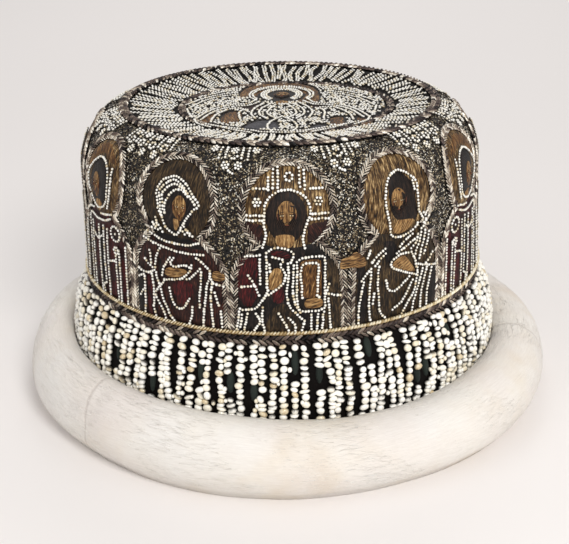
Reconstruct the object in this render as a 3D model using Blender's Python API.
# A low, flat-topped mitre: a stiffened cloth crown ringed by twelve braided arches over embroidered panels,
# a round medallion on top, a flared band of pearl strings and a stuffed fur roll that it rests on.
# +Z is up and the front figure faces -Y. The origin is the middle of the object's box, in the face
# that it rests on.

import math
from collections import namedtuple

import bmesh
import bpy
from mathutils import Vector

# The roll is fuller on its right, so the crown's axis stands left of the middle of the whole mitre.
AXIS_X = -0.0017

# Crown: a wall of felt and linen, 3 mm thick, that runs down inside the pearl band.
WALL = 0.003
CROWN_FOOT_Z = 0.006
CROWN_BASE_RADIUS = 0.100
CROWN_BASE_Z = 0.066
SHOULDER_RADIUS = 0.0988
SHOULDER_Z = 0.1195
RIM_RADIUS = 0.0765
RIM_Z = 0.1484
SHOULDER_STEPS = 6
CROWN_SIDES = 48

# The top has sunk a little inside its rim, by radius and height.
TopRow = namedtuple("TopRow", "radius height")
TOP_TABLE = (TopRow(0.0540, 0.1447), TopRow(0.0280, 0.1441))
TOP_Z = 0.1440

# Waves of the worn crown's shoulder, and of the fur roll's width and height, around the object.
Wave = namedtuple("Wave", "lobes depth phase")
CROWN_DENTS = (Wave(3, 0.0007, 0.7), Wave(7, 0.0005, 2.0))
ROLL_SWELLS = (Wave(1, 0.0017, 0.0), Wave(2, 0.0008, 0.0), Wave(6, 0.0006, 2.6))
ROLL_RISES = (Wave(4, 0.0008, 2.7),)
ROLL_CLIMBS = (Wave(1, 0.0024, 2.705), Wave(2, 0.0015, 3.84), Wave(3, 0.0010, 4.974))

# Pearl band: its outer outline by height, and one flute for each vertical string of pearls.
BandRow = namedtuple("BandRow", "height radius")
BAND_TABLE = (
    BandRow(0.0080, 0.1040),
    BandRow(0.0240, 0.1108),
    BandRow(0.0380, 0.1114),
    BandRow(0.0530, 0.1086),
    BandRow(0.0638, 0.1030),
)
BAND_STRINGS = 134
FLUTE_DEPTH = 0.0012

# Fur roll: a padded ring pressed against the band, flat where it rests. Its section is round from the
# floor over the outside to the top, at these degrees above its middle, then lies along the band. The
# part that lies against the band climbs higher up it, most of all at the front left.
ROLL_RADIUS = 0.1214
ROLL_HALF_WIDTH = 0.0156
ROLL_HEIGHT = 0.0316
ROLL_FLAT_HALF_WIDTH = 0.0075
ROLL_CLIMB = 0.0029
ROLL_ROUND_DEGREES = (-42, -12, 18, 48, 75, 105)
RollRow = namedtuple("RollRow", "height off_band climb_share")
ROLL_SEAT_TABLE = (
    RollRow(0.0286, 0.0026, 1.0),
    RollRow(0.0240, 0.0004, 0.0),
    RollRow(0.0150, 0.0004, 0.0),
    RollRow(0.0080, 0.0024, 0.0),
)
ROLL_SIDES = 48

# Gap kept between pieces that lie on each other.
GAP = 0.0004

# Braids and panels. A place on the crown is (across, up): arc lengths from a panel's middle at the
# crown's base radius, and from the crown's base seam up over its shoulder.
PANELS = 12
FIRST_PANEL_ANGLE = math.radians(1.5)
BASE_BRAID_UP = 0.0008
BASE_BRAID_SIDES = 52
BASE_BRAID_WIDTH, BASE_BRAID_HEIGHT = 0.0044, 0.0022
MEDALLION_BRAID_RADIUS, MEDALLION_BRAID_SIDES = 0.0775, 40
MEDALLION_BRAID_WIDTH, MEDALLION_BRAID_HEIGHT = 0.0040, 0.0018
INNER_RING_WIDTH, INNER_RING_HEIGHT = 0.0030, 0.0013
ARCH_BRAID_WIDTH, ARCH_BRAID_HEIGHT = 0.0030, 0.0013
BRAID_TOP_SHARE = 0.68
SHOULDER_LIFT = 0.0008
HALO_RADIUS = 0.0200
HALO_UP = 0.0612
NECK_ANGLE = math.radians(-50)
Place = namedtuple("Place", "across up")
ARCH_LEG_TABLE = (
    Place(0.0245, 0.0038),
    Place(0.0245, 0.0200),
    Place(0.0238, 0.0320),
    Place(0.0203, 0.0385),
)
ARCH_TURNS = 12
PANEL_MARGIN = 0.0020
PANEL_FOOT_UP = 0.0040
PANEL_TOP_UP = 0.0790
PANEL_THICKNESS = 0.0008
PANEL_LIFT = 0.0006
PANEL_COLUMNS = 3

# The medallion's inner field is an oval, a little right of the crown's axis. Its panel ends inside the
# braid, and has one more ring at a share of its size.
OVAL_ACROSS, OVAL_DEEP, OVAL_RIGHT = 0.0523, 0.0470, 0.0033
OVAL_SIDES = 32
MEDALLION_PANEL_MARGIN = 0.0021
MEDALLION_PANEL_SHARES = (0.46, 1.0)

# Colours of the materials: base colour, roughness, metallic.
FINISHES = {
    "metal_thread_ground": ((0.23, 0.18, 0.12), 0.45, 0.6),
    "pearl_strings": ((0.80, 0.74, 0.62), 0.35, 0.0),
    "fur": ((0.86, 0.82, 0.74), 0.85, 0.0),
    "silver_braid": ((0.36, 0.31, 0.26), 0.4, 0.7),
    "crimson_silk": ((0.11, 0.012, 0.012), 0.6, 0.0),
    "olive_silk": ((0.062, 0.042, 0.021), 0.6, 0.0),
    "maroon_silk": ((0.032, 0.010, 0.008), 0.6, 0.0),
    "golden_silk": ((0.22, 0.13, 0.045), 0.6, 0.0),
}
PANEL_SILKS = ("crimson_silk", "olive_silk", "crimson_silk", "maroon_silk")


def clear_scene():
    for old in list(bpy.data.objects):
        bpy.data.objects.remove(old, do_unlink=True)


def finish(name):
    """The material of that name, made the first time it is asked for."""
    made = bpy.data.materials.get(name)
    if made is None:
        colour, roughness, metallic = FINISHES[name]
        made = bpy.data.materials.new(name)
        made.use_nodes = True
        shader = made.node_tree.nodes["Principled BSDF"]
        shader.inputs["Base Color"].default_value = (*colour, 1.0)
        shader.inputs["Roughness"].default_value = roughness
        shader.inputs["Metallic"].default_value = metallic
    return made


def add_object(name, mesh, material):
    """An object for the mesh, its normals outward and its round faces smooth."""
    work = bmesh.new()
    work.from_mesh(mesh)
    bmesh.ops.recalc_face_normals(work, faces=work.faces)
    work.to_mesh(mesh)
    work.free()
    mesh.materials.append(finish(material))
    mesh.shade_smooth()
    mesh.set_sharp_from_angle(angle=math.radians(40))
    made = bpy.data.objects.new(name, mesh)
    bpy.context.scene.collection.objects.link(made)
    return made


def mesh_of_loops(name, loops, material, around=True, caps=False):
    """Bridges each loop of points to the next one. With around, the last loop joins the first."""
    mesh = bpy.data.meshes.new(name)
    work = bmesh.new()
    rings = [[work.verts.new(point) for point in loop] for loop in loops]
    pairs = list(zip(rings, rings[1:] + rings[:1])) if around else list(zip(rings, rings[1:]))
    for one, other in pairs:
        for i in range(len(one)):
            j = (i + 1) % len(one)
            work.faces.new((one[i], one[j], other[j], other[i]))
    if caps:
        work.faces.new(rings[0])
        work.faces.new(rings[-1])
    work.to_mesh(mesh)
    work.free()
    return add_object(name, mesh, material)


def crown_outline():
    """(radius, height) down the middle of the crown's outer face, from the base seam to the middle."""
    points = [(CROWN_BASE_RADIUS, CROWN_BASE_Z), (SHOULDER_RADIUS, SHOULDER_Z)]
    for step in range(1, SHOULDER_STEPS + 1):
        turn = math.pi / 2 * step / SHOULDER_STEPS
        radius = RIM_RADIUS + (SHOULDER_RADIUS - RIM_RADIUS) * math.cos(turn)
        points.append((radius, SHOULDER_Z + (RIM_Z - SHOULDER_Z) * math.sin(turn)))
    return points + [(row.radius, row.height) for row in TOP_TABLE] + [(0.0, TOP_Z)]


def outline_lengths(points):
    """The arc length from the first point to each point."""
    lengths = [0.0]
    for one, other in zip(points, points[1:]):
        lengths.append(lengths[-1] + math.dist(one, other))
    return lengths


OUTLINE = crown_outline()
LENGTHS = outline_lengths(OUTLINE)


def on_outline(up):
    """The crown's (radius, height, outward slope) at an arc length above its base seam."""
    for i in range(len(LENGTHS) - 1):
        if up <= LENGTHS[i + 1] or i == len(LENGTHS) - 2:
            break
    (r0, z0), (r1, z1) = OUTLINE[i], OUTLINE[i + 1]
    share = (up - LENGTHS[i]) / (LENGTHS[i + 1] - LENGTHS[i])
    slope = Vector((z1 - z0, r0 - r1)).normalized()
    return r0 + (r1 - r0) * share, z0 + (z1 - z0) * share, slope


SHOULDER_UP = LENGTHS[1]
RIM_UP = LENGTHS[1 + SHOULDER_STEPS]


def swell(waves, angle):
    return sum(wave.depth * math.sin(wave.lobes * angle + wave.phase) for wave in waves)


def dent(angle, up):
    """How far the worn crown bulges or sinks: most at the shoulder, not at all at the base and the rim."""
    share = max(0.0, min(up / SHOULDER_UP, (RIM_UP - up) / (RIM_UP - SHOULDER_UP)))
    return share * swell(CROWN_DENTS, angle)


def around_z(radius, angle, height):
    """A point about the crown's axis, at an angle from the front, which is -Y, growing towards +X."""
    return Vector((AXIS_X + radius * math.sin(angle), -radius * math.cos(angle), height))


def crown_point(angle, up, lift=0.0):
    """A point lifted off the crown's outer face."""
    radius, height, slope = on_outline(up)
    radius += dent(angle, up)
    return around_z(radius + slope.x * lift, angle, height + slope.y * lift)


def circle_angles(count):
    return [2 * math.pi * i / count for i in range(count)]


def make_crown():
    """The crown's wall: up its outer face to a pole, and down its inner face from another pole."""
    mesh = bpy.data.meshes.new("crown_shell")
    work = bmesh.new()
    angles = circle_angles(CROWN_SIDES)
    outer = [[work.verts.new(around_z(CROWN_BASE_RADIUS, a, CROWN_FOOT_Z)) for a in angles]]
    outer += [[work.verts.new(crown_point(a, up)) for a in angles] for up in LENGTHS[:-1]]
    inner = [[work.verts.new(around_z(CROWN_BASE_RADIUS - WALL, a, CROWN_FOOT_Z)) for a in angles]]
    inner_ups = [*LENGTHS[1:-3:2], *LENGTHS[-3:-1]]
    inner += [[work.verts.new(crown_point(a, up, -WALL)) for a in angles] for up in inner_ups]
    outer_pole = work.verts.new(around_z(0, 0, TOP_Z))
    inner_pole = work.verts.new(around_z(0, 0, TOP_Z - WALL))
    for rings, pole in ((outer, outer_pole), (inner, inner_pole)):
        for one, other in zip(rings, rings[1:]):
            for i in range(CROWN_SIDES):
                j = (i + 1) % CROWN_SIDES
                work.faces.new((one[i], one[j], other[j], other[i]))
        for i in range(CROWN_SIDES):
            work.faces.new((rings[-1][i], rings[-1][(i + 1) % CROWN_SIDES], pole))
    for i in range(CROWN_SIDES):
        j = (i + 1) % CROWN_SIDES
        work.faces.new((inner[0][i], inner[0][j], outer[0][j], outer[0][i]))
    work.to_mesh(mesh)
    work.free()
    return add_object("crown_shell", mesh, "metal_thread_ground")


def band_radius(height):
    """The band's outer radius at a height, over the crests of its pearl strings."""
    for low, high in zip(BAND_TABLE, BAND_TABLE[1:]):
        if height <= high.height:
            break
    share = (height - low.height) / (high.height - low.height)
    return low.radius + (high.radius - low.radius) * share


def make_band():
    """The padded band that the pearl strings cover, one flute for each string."""
    inner_radius = CROWN_BASE_RADIUS + GAP
    section = [(row.radius, row.height) for row in BAND_TABLE]
    section = [(inner_radius, section[0][1]), *section, (inner_radius, section[-1][1])]
    loops = []
    for i, angle in enumerate(circle_angles(2 * BAND_STRINGS)):
        valley = FLUTE_DEPTH if i % 2 else 0.0
        loop = []
        for radius, height in section:
            cut = 0.0 if radius == inner_radius else min(valley, (radius - inner_radius) / 2)
            loop.append(around_z(radius - cut, angle, height))
        loops.append(loop)
    return mesh_of_loops("pearl_band", loops, "pearl_strings")


def roll_section(angle):
    """(radius, height) round the fur roll at an angle: fuller and slacker in turn, opposite sides alike."""
    half_width = ROLL_HALF_WIDTH + swell(ROLL_SWELLS, angle)
    middle = ROLL_HEIGHT / 2
    half_height = middle + swell(ROLL_RISES, angle)
    climb = ROLL_CLIMB + swell(ROLL_CLIMBS, angle)
    section = [(ROLL_RADIUS - ROLL_FLAT_HALF_WIDTH, 0.0), (ROLL_RADIUS + ROLL_FLAT_HALF_WIDTH, 0.0)]
    for degrees in ROLL_ROUND_DEGREES:
        turn = math.radians(degrees)
        height = middle + half_height * math.sin(turn) + climb * max(0.0, math.sin(turn)) ** 2
        section.append((ROLL_RADIUS + half_width * math.cos(turn), height))
    for row in ROLL_SEAT_TABLE:
        height = row.height + climb * row.climb_share
        section.append((band_radius(height) + row.off_band, height))
    return section


def make_roll():
    loops = []
    for angle in circle_angles(ROLL_SIDES):
        loops.append([around_z(radius, angle, height) for radius, height in roll_section(angle)])
    return mesh_of_loops("fur_roll", loops, "fur")


def make_braid(name, places, width, height, ring, lift=GAP):
    """A low four-sided cord laid on the crown along places, a list of (angle, up)."""
    count = len(places)
    loops = []
    for i, (angle, up) in enumerate(places):
        here = crown_point(angle, up, lift)
        normal = (crown_point(angle, up, lift + 0.001) - here).normalized()
        before = places[i - 1] if ring or i else places[0]
        after = places[(i + 1) % count] if ring or i < count - 1 else places[-1]
        along = (crown_point(*after, lift) - crown_point(*before, lift)).normalized()
        side = along.cross(normal).normalized()
        loops.append([
            here - side * width / 2,
            here + side * width / 2,
            here + side * width / 2 * BRAID_TOP_SHARE + normal * height,
            here - side * width / 2 * BRAID_TOP_SHARE + normal * height,
        ])
    return mesh_of_loops(name, loops, "silver_braid", around=ring, caps=not ring)


def up_of_radius(radius):
    """The arc length at which the crown's outline has shrunk to a radius."""
    for i in range(len(OUTLINE) - 1):
        r0, r1 = OUTLINE[i][0], OUTLINE[i + 1][0]
        if r1 <= radius <= r0:
            break
    return LENGTHS[i] + (LENGTHS[i + 1] - LENGTHS[i]) * (r0 - radius) / (r0 - r1)


def arch_places(middle):
    """(angle, up) along one arch: up its left leg, round the halo and down its right leg."""
    places = [(-leg.across, leg.up) for leg in ARCH_LEG_TABLE]
    start, end = math.pi - NECK_ANGLE, NECK_ANGLE
    for i in range(ARCH_TURNS + 1):
        turn = start + (end - start) * i / ARCH_TURNS
        places.append((HALO_RADIUS * math.cos(turn), HALO_UP + HALO_RADIUS * math.sin(turn)))
    places += [(leg.across, leg.up) for leg in reversed(ARCH_LEG_TABLE)]
    return [(middle + across / CROWN_BASE_RADIUS, up) for across, up in places]


NECK = Place(HALO_RADIUS * math.cos(NECK_ANGLE), HALO_UP + HALO_RADIUS * math.sin(NECK_ANGLE))


def panel_half_width(up):
    """Half the width of an embroidered panel, kept inside its arch's braid."""
    if up > NECK.up:
        return math.sqrt((HALO_RADIUS - PANEL_MARGIN) ** 2 - (up - HALO_UP) ** 2)
    leg = (*ARCH_LEG_TABLE, NECK)
    for low, high in zip(leg, leg[1:]):
        if up <= high.up:
            break
    share = (up - low.up) / (high.up - low.up)
    return low.across + (high.across - low.across) * share - PANEL_MARGIN


def make_panel(name, middle, silk):
    """A thin embroidered panel that follows the crown inside one arch."""
    rows = {PANEL_FOOT_UP, NECK.up, HALO_UP, PANEL_TOP_UP}
    rows |= {leg.up for leg in ARCH_LEG_TABLE[1:]}
    rows |= {up for up in LENGTHS if PANEL_FOOT_UP < up < PANEL_TOP_UP}
    loops = []
    for up in sorted(rows):
        half = panel_half_width(up)
        across = [half * (2 * i / PANEL_COLUMNS - 1) for i in range(PANEL_COLUMNS + 1)]
        angles = [middle + x / CROWN_BASE_RADIUS for x in across]
        under = [crown_point(a, up, PANEL_LIFT) for a in angles]
        over = [crown_point(a, up, PANEL_LIFT + PANEL_THICKNESS) for a in reversed(angles)]
        loops.append(under + over)
    return mesh_of_loops(name, loops, silk, around=False, caps=True)


def oval_places(margin=0.0, share=1.0):
    """(angle, up) round the medallion's inner field, or round a smaller oval inside it."""
    places = []
    for turn in circle_angles(OVAL_SIDES):
        x = OVAL_RIGHT + (OVAL_ACROSS - margin) * share * math.sin(turn)
        y = -(OVAL_DEEP - margin) * share * math.cos(turn)
        places.append((math.atan2(x, -y), up_of_radius(math.hypot(x, y))))
    return places


def make_medallion_panel():
    """The oval embroidered panel on the crown's top."""
    mesh = bpy.data.meshes.new("medallion_panel")
    work = bmesh.new()
    edges = []
    for lift in (PANEL_LIFT + PANEL_THICKNESS, PANEL_LIFT):
        pole = work.verts.new(around_z(0, 0, TOP_Z + lift))
        rings = []
        for share in MEDALLION_PANEL_SHARES:
            places = oval_places(MEDALLION_PANEL_MARGIN, share)
            rings.append([work.verts.new(crown_point(angle, up, lift)) for angle, up in places])
        for i in range(OVAL_SIDES):
            j = (i + 1) % OVAL_SIDES
            work.faces.new((rings[0][i], rings[0][j], pole))
            work.faces.new((rings[0][i], rings[0][j], rings[1][j], rings[1][i]))
        edges.append(rings[1])
    for i in range(OVAL_SIDES):
        j = (i + 1) % OVAL_SIDES
        work.faces.new((edges[0][i], edges[0][j], edges[1][j], edges[1][i]))
    work.to_mesh(mesh)
    work.free()
    return add_object("medallion_panel", mesh, "golden_silk")


def make_ring_braids():
    base = [(angle, BASE_BRAID_UP) for angle in circle_angles(BASE_BRAID_SIDES)]
    make_braid("base_braid", base, BASE_BRAID_WIDTH, BASE_BRAID_HEIGHT, True)
    up = up_of_radius(MEDALLION_BRAID_RADIUS)
    outer = [(angle, up) for angle in circle_angles(MEDALLION_BRAID_SIDES)]
    make_braid("medallion_braid", outer, MEDALLION_BRAID_WIDTH, MEDALLION_BRAID_HEIGHT, True, SHOULDER_LIFT)
    make_braid("inner_ring_braid", oval_places(), INNER_RING_WIDTH, INNER_RING_HEIGHT, True)


def main():
    clear_scene()
    make_crown()
    make_band()
    make_roll()
    make_ring_braids()
    for i, turn in enumerate(circle_angles(PANELS)):
        middle = FIRST_PANEL_ANGLE + turn
        make_panel(f"figure_panel_{i + 1:02d}", middle, PANEL_SILKS[i % len(PANEL_SILKS)])
        places = arch_places(middle)
        name = f"arch_braid_{i + 1:02d}"
        make_braid(name, places, ARCH_BRAID_WIDTH, ARCH_BRAID_HEIGHT, False, SHOULDER_LIFT)
    make_medallion_panel()


main()
